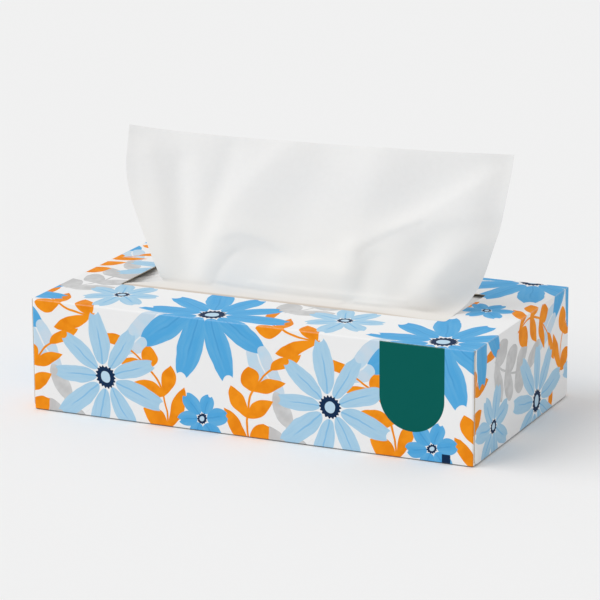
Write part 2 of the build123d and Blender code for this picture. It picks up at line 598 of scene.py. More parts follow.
@dataclass(frozen=True)
class Leaf:
    """One broad leaf with a light rib."""

    place: Place
    length: float
    width: float
    bend: float
    leaf: Colour
    leaf_wash: Colour
    rib: Colour
    wash: Wash = Wash(0.14, spread=(0.4, 0.64))
    wash_squash: float = 0.6
    rib_edge: tuple[float, float] = (0.55, 0.25)
    rib_end: tuple[float, float] = (0.75, 0.6)
    rib_share: float = 0.8

    def paint(self, ink: PrintSheet) -> None:
        """Lays the leaf on the print.

        Args:
            ink: The print.
        """
        x, y = ink.local(self.place)
        share = x * (2 / self.length)
        square = share * share
        aside = abs(y - square * self.bend)
        depth = (1 - square) * (self.width / 2) - aside
        cloud = self.wash.at(ink.nodes, ink.nodes.joined(x, y * self.wash_squash, self.width))
        leaf = self.wash.laid(ink.nodes, cloud, self.leaf, self.leaf_wash)
        rib = aside.ramp(*self.rib_edge) * share.ramp(*self.rib_end) * self.rib_share
        ink.lay(ink.inside(depth), ink.nodes.mixed(rib, leaf, self.rib))


@dataclass(frozen=True)
class Tab:
    """A plain coloured tab that hangs from the front's top fold to a round end, and a press mark below it.

    The mark is given by its left and right sides and its top.
    """

    left: float = 67.8
    right: float = 100.2
    lowest: float = 13.5
    mark: tuple[float, float, float] = (99.1, 103.3, 4.6)

    def paint(self, ink: PrintSheet, x: Term, z: Term, on_front: Term, colour: Colour, mark: Colour) -> None:
        """Lays the tab on the front panel.

        Args:
            ink: The print.
            x: The point's place along the carton.
            z: The point's height.
            on_front: One on the front panel, else zero.
            colour: The tab's ink.
            mark: The ink of the small press mark at the front's bottom fold.
        """
        half = (self.right - self.left) / 2
        aside = abs(x - (self.left + self.right) / 2)
        below = (self.lowest + half - z).most(0.0)
        depth = half - (aside * aside + below * below).root()
        ink.lay(ink.inside(depth) * on_front, colour)
        left, right, top = self.mark
        square = ((right - left) / 2 - abs(x - (left + right) / 2)).least(top - z)
        ink.lay(ink.inside(square) * on_front, mark)


@dataclass(frozen=True)
class PrintedCard:
    """Satin white folding card with a floral print outside and bare grey board inside."""

    length: float
    width: float
    height: float
    repeat: tuple[float, float] = (118.0, 116.0)
    wobble: float = 3.2
    wobbles: Cloud = Cloud(0.07)
    fold_place: tuple[float, float] = (-0.7, -0.1)
    # whitened folds: partly cracked thin ink, partly a painted highlight on the rounded fold edges
    fold_wear_and_highlight: Wash = Wash(0.9, 3.0, spread=(0.2, 0.8), share=0.4)
    # painted contact shadow: a dark band along the bottom edge where the carton stands on the floor
    painted_contact_shade: Colour = linear(66, 66, 68)
    contact_shade_place: tuple[float, float] = (0.75, 0.35)
    contact_shade_share: float = 0.8
    ink_depth: float = 0.8
    least_facing: float = 0.35
    board: Colour = linear(196, 186, 170)
    fleck: Colour = linear(176, 165, 148)
    flecks: Wash = Wash(1.6, 4.0, 0.65, (0.3, 0.75))
    grain: Cloud = Cloud(3.2, 3.0, 0.6)
    grain_strength: float = 0.12
    grain_depth: float = 0.06
    roughness: float = 0.5
    roughness_range: float = 0.1
    board_roughness: float = 0.3
    specular: float = 0.04
    inks: Inks = Inks()
    tab: Tab = Tab()

    def motifs(self) -> list[Leaf | Sprig | Blossom]:
        """The motifs of one repeat.

        Returns:
            The motifs in the order in which they are laid.
        """
        inks = self.inks
        eye = dict(eye=inks.navy, eye_ring=inks.wash_blue)
        blue = dict(petal=inks.mid_blue, petal_wash=inks.lit_blue, vein=inks.deep_blue, **eye)
        light = dict(petal=inks.light_blue, petal_wash=inks.wash_blue, vein=inks.mid_blue, **eye)
        pale = (inks.pale_blue, inks.wash_blue, inks.white)
        grey, orange = (inks.grey, inks.light_grey), (inks.orange, inks.deep_orange)
        return [
            Leaf(Place(-54, -72, 48), 42, 15, 4, *pale),
            Leaf(Place(8, -82, -60), 36, 13, 3, *pale),
            Sprig(Place(17, -16, 75), 44, 3, 18, 10.6, 5, *grey, 44, LeafTip.BLUNT),
            Sprig(Place(-50, -98, 120), 44, 3, 17, 8.0, 7, *orange),
            Sprig(Place(4, -102, 75), 40, 3, 17, 8.0, -7, *orange),
            Sprig(Place(20, -60, 150), 34, 2, 17, 8.0, -6, *orange),
            Blossom(Place(-24, -111, 10), 14, 6, **blue, seed=5.0, fullness=0.86),
            Blossom(Place(40, -38, 8), 21, 7, **light, seed=6.0, fullness=0.78),
            Blossom(Place(43, -97, 20), 31, 9, **light, seed=2.0, fullness=0.68),
            Blossom(Place(-22, -53, 0), 38, 10, **blue, seed=1.0, fullness=0.8),
        ]

    def material(self) -> bpy.types.Material:
        """Makes the card's material.

        Returns:
            The material, which finds each point's place on the flat blank.
        """
        material, nodes = new_material("printed_card")
        place = nodes.add("ShaderNodeTexCoord").outputs["Object"]
        scaled = nodes.add("ShaderNodeVectorMath", {"operation": "SCALE"}, {0: place, "Scale": 1 / MM})
        point = scaled.outputs[0]
        x, y, z = nodes.parts(point)
        facing = nodes.parts(nodes.add("ShaderNodeNewGeometry").outputs["Normal"])

        # Which panel a point is on: the one whose outer face is nearest.
        end, side = abs(x) - self.length / 2, abs(y) - self.width / 2
        level = abs(z - self.height / 2) - self.height / 2
        on_end, on_side = end > side.most(level), side > end.most(level)
        on_level = 1 - on_end.most(on_side)
        drop = self.height - z
        on_top = on_level * (z > self.height / 2)
        on_front = on_side * (y < 0.0)
        on_left = on_end * (x < 0.0)
        out = on_end - on_left * 2.0
        back = on_side - on_front * 2.0
        under = on_level - on_top
        across = x + out * drop
        along = y + back * drop - under * (y * 2.0 + (self.width + self.height))
        along = along + on_left * (self.repeat[1] / 2)
        shifts = self.wobbles.texture(nodes, nodes.joined(across, along, 0.0)).outputs["Color"]
        shift_across, shift_along, _ = nodes.parts(shifts)
        across = across + (shift_across - 0.5) * self.wobble
        along = along + (shift_along - 0.5) * self.wobble

        ink = PrintSheet(nodes, across, along, self.repeat, self.inks.white)
        for motif in self.motifs():
            motif.paint(ink)
        self.tab.paint(ink, x, z, on_front, self.inks.green, self.inks.navy)

        # The folds are whitened, partly as thin cracked ink and partly as a painted highlight on their
        # rounded edges. A painted contact shadow darkens the bottom edge where the carton stands. The cut
        # edges and the inside are bare board.
        nearest = end.most(side).most(level)
        middle = end.least(side).most(end.most(side).least(level))
        worn_and_lit = self.fold_wear_and_highlight.shown(self.fold_wear_and_highlight.at(nodes, point))
        # whitened folds: cracked ink and a painted highlight
        ink.lay(middle.ramp(*self.fold_place) * worn_and_lit, self.inks.white)
        # painted contact shadow along the bottom edge
        ink.lay(z.ramp(*self.contact_shade_place) * self.contact_shade_share, self.painted_contact_shade)
        turned = (
            on_end * abs(facing[0]) * self._outward(facing[0], x)
            + on_side * abs(facing[1]) * self._outward(facing[1], y)
            + on_level * abs(facing[2]) * self._outward(facing[2], z - self.height / 2)
        )
        printed = (turned > self.least_facing) * (nearest > -self.ink_depth)
        board = self.flecks.laid(nodes, self.flecks.at(nodes, point), self.board, self.fleck)
        grain = self.grain.at(nodes, point)
        rough = (grain - 0.5) * self.roughness_range + self.roughness + (1 - printed) * self.board_roughness
        nodes.surface(
            {
                "Base Color": nodes.mixed(printed, board, ink.colour),
                "Roughness": rough,
                "Normal": nodes.bumped(grain, self.grain_strength, self.grain_depth),
                "Specular IOR Level": self.specular,
            }
        )
        return material

    @staticmethod
    def _outward(facing: Term, place: Term) -> Term:
        """One where a face looks away from the carton's middle, else zero."""
        return (facing * place) > 0.0


# Soft paper


@dataclass(frozen=True)
class SoftTissue:
    """Soft white creped paper with painted light and shade: warm light on the lower standing part, a darker
    warm shade at its foot, and a shade line where it bends over the slot's edge.

    The places are distances along the flat sheet, from its free end inside the carton.
    """

    white: Colour = linear(237, 236.5, 235.5)
    shade: Colour = linear(235, 234.5, 233.5)
    clouds: Wash = Wash(0.35, 4.0, 0.6)
    run_place: tuple[float, float] = (112.0, 124.0)
    # Painted warm light on the lower standing part, which offsets the blue light bounced from the print.
    low: Colour = linear(243.5, 240.5, 235.5)
    warm_light_place: tuple[float, float] = (184.0, 150.0)
    # Painted shade at the foot, warmed like light bounced from the card's inside.
    foot: Colour = linear(231, 226, 219.5)
    foot_shade_place: tuple[float, float] = (134.5, 129.5)
    painted_light_share: float = 0.7
    # Painted shade line where the sheet bends over the slot's front edge.
    painted_edge_shade: Colour = linear(190, 172, 154)
    edge_shade_place: tuple[float, ...] = (125.5, 126.8, 128.3, 129.2)
    edge_shade_share: float = 0.6
    crepe: Cloud = Cloud(1.0, 3.0, 0.6)
    crepe_scale: tuple[float, float] = (0.7, 2.6)
    crepe_strength: float = 0.07
    crepe_depth: float = 0.2
    roughness: float = 0.83
    roughness_range: float = 0.1
    specular: float = 0.15
    sheen: float = 0.1
    sheen_roughness: float = 0.6

    def material(self) -> bpy.types.Material:
        """Makes the paper's material.

        Returns:
            The material, which follows the flat sheet's own map.
        """
        material, nodes = new_material("tissue")
        flat = nodes.parts(nodes.add("ShaderNodeUVMap", {"uv_map": FLAT_MAP}).outputs[0])
        across, along = flat[0] / MM, flat[1] / MM
        cloud = self.clouds.at(nodes, nodes.joined(across, along, 0.0))
        colour = self.clouds.laid(nodes, cloud, self.white, self.shade)
        stood = along.ramp(*self.run_place)
        # Painted warm light on the lower standing part and painted warm shade at its foot.
        for painted_tint, place in ((self.low, self.warm_light_place), (self.foot, self.foot_shade_place)):
            colour = nodes.mixed(along.ramp(*place) * stood * self.painted_light_share, colour, painted_tint)
        # A painted shade line where the sheet bends over the slot's edge.
        start, full, fading, gone = self.edge_shade_place
        edge_shaded = along.ramp(start, full) * along.ramp(gone, fading)
        colour = nodes.mixed(edge_shaded * self.edge_shade_share, colour, self.painted_edge_shade)
        across_scale, along_scale = self.crepe_scale
        crepe = self.crepe.at(nodes, nodes.joined(across * across_scale, along * along_scale, 0.0))
        nodes.surface(
            {
                "Base Color": colour,
                "Roughness": cloud * self.roughness_range + self.roughness,
                "Normal": nodes.bumped(crepe, self.crepe_strength, self.crepe_depth),
                "Specular IOR Level": self.specular,
                "Sheen Weight": self.sheen,
                "Sheen Roughness": self.sheen_roughness,
            }
        )
        return material


@dataclass(frozen=True)
class PilePaper:
    """The same soft paper seen as the edges of many folded layers."""

    white: Colour = linear(233, 233, 231)
    shade: Colour = linear(222, 222, 220)
    clouds: Wash = Wash(0.3, 3.0, 0.6)
    layer_scale: float = 6.0
    layer_strength: float = 0.2
    layer_depth: float = 0.2
    roughness: float = 0.83
    roughness_range: float = 0.1
    specular: float = 0.15

    def material(self) -> bpy.types.Material:
        """Makes the pile's material.

        Returns:
            The material, whose clouds lie flat like the layers.
        """
        material, nodes = new_material("tissue_pile")
        x, y, z = nodes.parts(nodes.add("ShaderNodeTexCoord").outputs["Object"])
        cloud = self.clouds.at(nodes, nodes.joined(x / MM, y / MM, z * (self.layer_scale / MM)))
        nodes.surface(
            {
                "Base Color": self.clouds.laid(nodes, cloud, self.white, self.shade),
                "Roughness": cloud * self.roughness_range + self.roughness,
                "Normal": nodes.bumped(cloud, self.layer_strength, self.layer_depth),
                "Specular IOR Level": self.specular,
            }
        )
        return material


# Pieces


class Stage(Enum):
    """The stretches of the standing sheet, from its free end inside the carton."""

    TAIL = 0
    TURN = 1
    RUN = 2
    RISE = 3
    STAND = 4


def ease(share: np.ndarray) -> np.ndarray:
    """A smooth step from zero to one."""
    share = np.clip(share, 0.0, 1.0)
    return share * share * (3 - 2 * share)


def eased(place: Any, start: float, stop: float) -> np.ndarray:
    """A smooth step from zero at start to one at stop, which may lie on either side of it."""
    return ease((np.asarray(place) - start) / (stop - start))


@dataclass(frozen=True)
class Hollow:
    """Part of the sheet that sinks back beside a ridge and under a brow."""

    ridge: float
    brow: float
    slope: float
    depth: float
    lip: float
    reach: float
    soft_corner: float = 3.0
    soft_edge: float = 1.6

    def push(self, across: np.ndarray, up: np.ndarray) -> np.ndarray:
        """How far it pushes the sheet back.

        Args:
            across: Places along the carton, in millimetres.
            up: Heights along the sheet's standing part, in millimetres.

        Returns:
            The push at each place, in millimetres.
        """
        beside = across - self.ridge
        under = (self.brow + self.slope * beside - up) / math.hypot(1, self.slope)
        inside = -self.soft_corner * np.logaddexp(-beside / self.soft_corner, -under / self.soft_corner)
        inside = self.soft_edge * np.logaddexp(0.0, inside / self.soft_edge)
        return self.depth * (1 - np.exp(-inside / self.lip)) * np.exp(-inside / self.reach)


@dataclass(frozen=True)
class Fold:
    """A bowed line along which the standing part comes forward, or lies back where lift is negative."""

    foot: tuple[float, float]
    middle: tuple[float, float]
    top: tuple[float, float]
    lift: float
    left_width: float
    right_width: float
    side_blend: float = 1.5
    on_line: float = 0.001

    def line(self, count: int = 9) -> np.ndarray:
        """Points along the bowed line.

        Args:
            count: How many points.

        Returns:
            The points, each across the sheet and up it.
        """
        foot, middle, top = (np.array(point) for point in (self.foot, self.middle, self.top))
        bow = 2 * middle - (foot + top) / 2
        share = np.linspace(0, 1, count)[:, None]
        return (1 - share) ** 2 * foot + 2 * share * (1 - share) * bow + share**2 * top

    def raised(self, across: np.ndarray, up: np.ndarray) -> np.ndarray:
        """How far it brings the sheet forward.

        Args:
            across: Places along the carton, in millimetres.
            up: Heights along the sheet's standing part, in millimetres.

        Returns:
            The way forward at each place, in millimetres.
        """
        line = self.line()
        nearest = np.full(across.shape, np.inf)
        beside = np.zeros(across.shape)
        for start, stop in zip(line[:-1], line[1:]):
            run = stop - start
            share = ((across - start[0]) * run[0] + (up - start[1]) * run[1]) / run.dot(run)
            share = np.clip(share, 0, 1)
            dx, dy = across - start[0] - share * run[0], up - start[1] - share * run[1]
            far = np.hypot(dx, dy)
            closer = far < nearest
            beside = np.where(closer, (run[1] * dx - run[0] * dy) / np.hypot(*run), beside)
            nearest = np.where(closer, far, nearest)
        abreast = np.abs(beside) / np.maximum(nearest, self.on_line)
        side = 0.5 + 0.5 * np.tanh(beside / self.side_blend) * abreast
        width = self.left_width + (self.right_width - self.left_width) * side
        return self.lift * np.exp(-((nearest / width) ** 2))


@dataclass(frozen=True)
class Ripple:
    """A run of soft waves over the tail: their height as a share of its billow, and their pitch both ways."""

    height: float
    across_pitch: float
    along_pitch: float

    def phase(self, across: np.ndarray, y: float) -> np.ndarray:
        """How far through its waves each place is, in radians."""
        return across / self.across_pitch + y / self.along_pitch

    def wave(self, across: np.ndarray, y: float) -> np.ndarray:
        """How much the waves add to the billow at each place."""
        return self.height * np.sin(self.phase(across, y))


@dataclass
class StandingSheet:
    """The whole sheet: its tail on the pile, its turn, its run under the top panel and its standing part.

    The tail billows under the slot. The rise bends up over the slot's front edge. The standing part leans
    back, flares towards its top and is folded, and its hems are the fine folds at its foot.
    """

    carton_height: float
    half_width: float = 101.5
    thickness: float = 0.16
    edge_share: float = 0.2
    tail_end: float = 50.55
    tail_level: float = 47.4
    turn_line: float = -42.95
    run_level: float = 54.25
    run_end: float = -22.95
    rise_radius: float = 7.0
    stand_height: float = 73.6
    lean_back: float = 27.6
    left_slot: float = -87.0
    left_foot: float = -66.7
    left_draw_start: float = 0.5
    right_slot: float = 83.0
    left_top: float = -95.9
    right_top: float = 104.0
    left_flare: float = 1.86
    right_flare: float = 2.65
    left_sway: float = 1.25
    left_sway_middle: float = 0.435
    left_sway_half: float = 0.43
    top_tilt: float = 3.6
    top_bow: float = 2.06
    top_bow_level: float = 0.6
    top_bow_power: int = 3
    right_sweep: float = 9.0
    right_sweep_start: float = 0.74
    rise_sweep_power: int = 3
    stand_sweep_power: int = 2
    edge_curl: float = 3.0
    edge_curl_width: float = 12.0
    fold_fade: float = 5.0
    billow: float = 6.5
    billow_start: tuple[float, float] = (-34.0, -14.0)
    billow_stop: tuple[float, float] = (49.0, 36.0)
    billow_ends: float = 8.0
    billow_level: float = 0.8
    ripples: Sequence[Ripple] = (
        Ripple(0.11, 11.0, 9.0),
        Ripple(0.07, 5.3, -4.6),
        Ripple(0.05, 21.0, 3.4),
    )
    crumple: Ripple = Ripple(0.3, 2.3, -5.6)
    crumple_level: float = 0.6
    crumple_sways: Sequence[Ripple] = (
        Ripple(1.1, 7.3, 3.9),
        Ripple(0.6, -3.1, 6.7),
    )
    crumple_fade: Ripple = Ripple(0.45, 5.9, -4.3)
    crumple_place: tuple[float, float] = (-60.0, -72.0)
    right_swell: float = 0.15
    right_swell_place: tuple[float, float] = (60.0, 76.0)
    columns: int = 200
    rows: dict[Stage, int] = field(default_factory=lambda: dict(zip(Stage, (54, 10, 10, 14, 130))))
    hollows: Sequence[Hollow] = (
        Hollow(33.3, 31.7, 0.23, 3.1, 6.9, 32.5),
        Hollow(71.7, 1.2, 0.89, 8.3, 4.9, 53.1),
    )
    folds: Sequence[Fold] = (
        Fold((-66.0, 1.7), (-76.4, 39.4), (-83.4, 61.1), 1.23, 10.4, 7.2),
        Fold((-54.3, 4.9), (-64.0, 40.6), (-67.2, 59.2), -0.74, 5.5, 6.0),
        Fold((-52.2, 3.4), (-52.4, 41.7), (-57.8, 67.3), 0.55, 8.4, 10.0),
        Fold((-51.1, 5.8), (-45.2, 44.1), (-40.5, 68.8), -0.57, 5.6, 5.8),
        Fold((-44.4, 3.5), (-32.6, 40.9), (-9.2, 70.4), 1.46, 9.3, 17.3),
        Fold((0.2, 22.9), (-0.8, 37.5), (6.8, 73.6), -0.9, 22.2, 13.4),
        Fold((-36.5, 26.0), (-22.7, 27.8), (-0.7, 20.0), 0.5, 5.6, 2.9),
        Fold((-37.9, 4.5), (-27.7, 17.6), (-4.5, 18.2), -0.6, 4.7, 9.0),
        Fold((35.9, 39.0), (37.0, 53.8), (39.0, 72.0), 1.53, 11.6, 17.3),
        Fold((41.9, 40.0), (66.0, 56.0), (100.0, 73.0), -1.9, 15.5, 15.5),
        Fold((31.9, 24.6), (58.9, 39.1), (93.5, 62.4), 1.29, 6.0, 11.5),
        Fold((36.8, 2.8), (39.7, 17.4), (42.6, 22.0), -0.29, 3.1, 4.4),
        Fold((71.8, 5.9), (73.0, 17.5), (92.5, 34.1), 2.78, 11.8, 7.9),
        Fold((55.3, 2.5), (61.6, 13.6), (67.4, 23.2), -1.91, 8.8, 9.5),
        Fold((-3.2, 11.4), (10.3, 12.7), (26.9, 11.7), 1.3, 6.0, 9.0),
        Fold((96.8, 6.8), (100.5, 43.0), (106.0, 76.0), -2.7, 11.5, 8.0),
        Fold((-38.6, 2.4), (-36.0, 9.5), (-30.5, 17.2), -0.26, 1.5, 2.6),
        Fold((35.5, 22.5), (43.0, 29.8), (64.0, 39.6), -0.28, 1.8, 3.2),
    )
    hems: Sequence[Fold] = (
        Fold((-40.0, 1.3), (0.0, -0.1), (34.0, 0.4), -0.3, 0.9, 0.9),
        Fold((-20.0, 3.6), (10.0, 2.9), (60.0, 3.4), 0.25, 1.2, 1.2),
        Fold((30.0, -1.2), (55.0, -0.6), (76.0, 0.9), -0.4, 0.9, 0.9),
    )

    @property
    def lean(self) -> float:
        """The standing part's lean from upright, in radians."""
        return math.atan2(self.lean_back, self.stand_height)

    @property
    def rise_top(self) -> tuple[float, float]:
        """Where the rise ends and the standing part starts, as (y, z)."""
        turn = math.pi / 2 - self.lean
        return (
            self.run_end + self.rise_radius * math.sin(turn),
            self.run_level + self.rise_radius * (1 - math.cos(turn)),
        )

    @property
    def rise_length(self) -> float:
        """The rise's length along the sheet."""
        return self.rise_radius * (math.pi / 2 - self.lean)

    @property
    def stand_length(self) -> float:
        """The standing part's length along the sheet."""
        return (self.carton_height + self.stand_height - self.rise_top[1]) / math.cos(self.lean)

    def spine(self) -> list[tuple[Stage, float, float, float, float]]:
        """The sheet's middle line.

        Returns:
            For each row of the mesh its stage, its share of that stage, its y and z, and its direction's
            angle from +Y.
        """
        rows = []
        radius = (self.run_level - self.tail_level) / 2
        for stage, count in self.rows.items():
            last = stage is Stage.STAND
            for step in range(count + last):
                share = step / count
                if stage is Stage.TAIL:
                    y = self.tail_end + (self.turn_line - self.tail_end) * share
                    z, angle = self.tail_level, math.pi
                elif stage is Stage.TURN:
                    angle = math.pi * (1 - share)
                    y = self.turn_line - radius * math.sin(math.pi * share)
                    z = self.tail_level + radius * (1 - math.cos(math.pi * share))
                elif stage is Stage.RUN:
                    y = self.turn_line + (self.run_end - self.turn_line) * share
                    z, angle = self.run_level, 0.0
                elif stage is Stage.RISE:
                    angle = (math.pi / 2 - self.lean) * share
                    y = self.run_end + self.rise_radius * math.sin(angle)
                    z = self.run_level + self.rise_radius * (1 - math.cos(angle))
                else:
                    angle = math.pi / 2 - self.lean
                    y = self.rise_top[0] + self.stand_length * share * math.cos(angle)
                    z = self.rise_top[1] + self.stand_length * share * math.sin(angle)
                rows.append((stage, share, y, z, angle))
        return rows

    def side_edges(self, stage: Stage, share: float) -> tuple[float, float]:
        """Where the sheet's side edges are along the carton.

        Args:
            stage: The stretch of the sheet.
            share: How far through that stretch.

        Returns:
            The places of the left and the right edge, in millimetres.
        """
        if stage is Stage.RUN:
            return (
                -self.half_width + (self.left_slot + self.half_width) * share,
                self.half_width + (self.right_slot - self.half_width) * share,
            )
        if stage is Stage.RISE:
            drawn = float(eased(share, self.left_draw_start, 1.0))
            return self.left_slot + (self.left_foot - self.left_slot) * drawn, self.right_slot
        if stage is Stage.STAND:
            left, right = (1 - (1 - share) ** flare for flare in (self.left_flare, self.right_flare))
            beyond = (share - self.left_sway_middle) / self.left_sway_half
            sway = self.left_sway * math.sin(math.pi * min(max(beyond, -1), 1))
            return (
                self.left_foot + (self.left_top - self.left_foot) * left - sway,
                self.right_slot + (self.right_top - self.right_slot) * right,
            )
        return -self.half_width, self.half_width

    def push_back(
        self, stage: Stage, share: float, across_share: np.ndarray, across: np.ndarray
    ) -> np.ndarray:
        """How far the sheet lies behind its spine along one row.

        Args:
            stage: The stretch of the sheet that the row is in.
            share: How far through that stretch it is.
            across_share: Places along the row as shares of its width.
            across: The same places along the carton, in millimetres.

        Returns:
            The way back at each place, in millimetres.
        """
        if stage not in (Stage.RISE, Stage.STAND):
            return np.zeros_like(across)
        sweep = self.right_sweep * eased(across_share, self.right_sweep_start, 1.0)
        length = self.stand_length if stage is Stage.STAND else self.rise_length
        up = np.full_like(across, (share if stage is Stage.STAND else share - 1) * length)
        hems = sum(hem.raised(across, up) for hem in self.hems)
        if stage is Stage.RISE:
            return sweep * share**self.rise_sweep_power - hems * eased(share, 0.0, 1.0)
        sunk = sum(hollow.push(across, up) for hollow in self.hollows)
        risen = sum(fold.raised(across, up) for fold in self.folds)
        risen = risen + self.edge_curl * np.exp((across[0] - across) / self.edge_curl_width)
        folded = (sunk - risen) * (1 - np.exp(-up / self.fold_fade))
        return sweep * (1 - share) ** self.stand_sweep_power - hems + folded

    def billowed(self, across: np.ndarray, y: float) -> np.ndarray:
        """How far the tail swells up from the pile under the slot along one row.

        Args:
            across: Places along the carton, in millimetres.
            y: The row's place across the carton, in millimetres.

        Returns:
            The way up at each place, in millimetres.
        """
        swell = eased(y, *self.billow_start) * eased(y, *self.billow_stop)
        ends = ease((self.half_width - np.abs(across)) / self.billow_ends)
        level = self.billow_level + sum(ripple.wave(across, y) for ripple in self.ripples)
        creased = self.crumple.phase(across, y) + sum(sway.wave(across, y) for sway in self.crumple_sways)
        crumpled = self.crumple.height * (np.abs(np.sin(creased)) - self.crumple_level)
        crumpled = crumpled * (1 - self.crumple_fade.height + self.crumple_fade.wave(across, y))
        level = level + crumpled * eased(across, *self.crumple_place)
        level = level + self.right_swell * eased(across, *self.right_swell_place)
        return self.billow * swell * ends * level

    def bowed(self, across_share: np.ndarray) -> np.ndarray:
        """How far the top edge is lifted at its ends and sags between them, in millimetres."""
        return self.top_bow * (np.abs(2 * across_share - 1) ** self.top_bow_power - self.top_bow_level)

    def surface(self) -> tuple[np.ndarray, np.ndarray]:
        """The sheet's middle surface.

        Returns:
            Its points in millimetres, by row and column, and the same points' places on the flat sheet.
        """
        spine = self.spine()
        across_share = np.linspace(0, 1, self.columns + 1)
        points = np.zeros((len(spine), self.columns + 1, 3))
        flat = np.zeros((len(spine), self.columns + 1, 2))
        travelled, before = 0.0, None
        for row, (stage, share, y, z, angle) in enumerate(spine):
            left, right = self.side_edges(stage, share)
            across = left + (right - left) * across_share
            push = self.push_back(stage, share, across_share, across)
            points[row, :, 0] = across
            points[row, :, 1] = y + push * math.sin(angle)
            points[row, :, 2] = z - push * math.cos(angle)
            if stage is Stage.TAIL:
                points[row, :, 2] += self.billowed(across, y)
            if stage is Stage.STAND:
                points[row, :, 2] += self.top_tilt * share * across / (2 * self.half_width)
                points[row, :, 2] += self.bowed(across_share) * share**self.top_bow_power
            if before is not None:
                travelled += math.hypot(y - before[0], z - before[1])
            before = (y, z)
            flat[row, :, 0] = across_share * 2 * self.half_width
            flat[row, :, 1] = travelled
        return points, flat

    def build(self, finish: bpy.types.Material) -> bpy.types.Object:
        """Makes the sheet as a thin closed shell with a map of the flat sheet.

        Args:
            finish: The paper's material.

        Returns:
            The sheet's object.
        """
        points, flat = self.surface()
        rows, columns = points.shape[:2]
        normal = np.cross(np.gradient(points, axis=1), np.gradient(points, axis=0))
        normal /= np.linalg.norm(normal, axis=2, keepdims=True)
        half = normal * self.thickness / 2
        half[:, [0, -1]] *= self.edge_share
        half[[0, -1], :] *= self.edge_share
        vertices = np.concatenate([(points + half).reshape(-1, 3), (points - half).reshape(-1, 3)]) * MM
        number = np.arange(rows * columns).reshape(rows, columns)
        count = rows * columns
        squares = [number[:-1, :-1], number[:-1, 1:], number[1:, 1:], number[1:, :-1]]
        front = np.stack(squares, axis=-1).reshape(-1, 4)
        faces = [front, front[:, ::-1] + count]
        sides = [number[0, :], number[1:, -1], number[-1, -2::-1], number[-2:0:-1, 0], number[:1, 0]]
        rim = np.concatenate(sides)
        faces.append(np.stack([rim[1:], rim[:-1], rim[:-1] + count, rim[1:] + count], axis=-1))
        corners = np.concatenate(faces)
        mesh = bpy.data.meshes.new("standing_sheet")
        mesh.from_pydata(vertices.tolist(), [], corners.tolist())
        layer = mesh.uv_layers.new(name=FLAT_MAP)
        places = np.tile(flat.reshape(-1, 2), (2, 1))[corners.reshape(-1)] * MM
        layer.data.foreach_set("uv", places.reshape(-1))
        mesh.polygons.foreach_set("use_smooth", [True] * len(mesh.polygons))
        ends = np.zeros(2 * len(mesh.edges), dtype=np.int32)
        mesh.edges.foreach_get("vertices", ends)
        mesh.edges.foreach_set("use_edge_sharp", np.isin(ends % count, rim).reshape(-1, 2).all(axis=1))
        mesh.materials.append(finish)
        mesh.validate()
        return put_in_scene("standing_sheet", mesh)

    def dress(self, sheet: bpy.types.Object, pile: bpy.types.Object) -> None:
        """Hides the imported sheet that it stands for and hangs it under the root body.

        Args:
            sheet: The sheet's object.
            pile: The pile that it rests on; not used.
        """
        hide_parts("pop_up_tissue")
        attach(sheet, "root")


